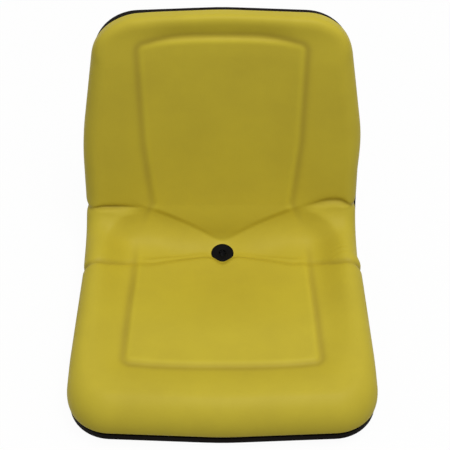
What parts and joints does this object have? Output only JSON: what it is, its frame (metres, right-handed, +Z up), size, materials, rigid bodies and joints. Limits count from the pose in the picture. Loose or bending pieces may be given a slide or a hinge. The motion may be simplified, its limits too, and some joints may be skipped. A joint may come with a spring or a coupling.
{
  "type": "operator seat",
  "caption": "High-back padded operator seat: bolsters round sunk seat and back panels, a drain in the crease, and a pressed pan with bolt holes beneath.",
  "frame": {"origin": "underside of the pan, at the centre of the mounting bolts", "axes": "+Z up, +X to the operator's left, +Y to the back of the seat"},
  "size_m": [0.4914, 0.5448, 0.4543],
  "materials": {
    "yellow_vinyl": "satin, fine grain",
    "black_painted_steel": "satin",
    "black_trim": "matt",
    "black_plastic": "matt",
    "nut_steel": "bright zinc"
  },
  "bodies": {
    "root": {"cushion": "yellow_vinyl", "seat_pan": "black_painted_steel", "edge_trim": "black_trim", "drain_grommet": "black_plastic", "weld_nuts": "nut_steel"}
  },
  "joints": []
}
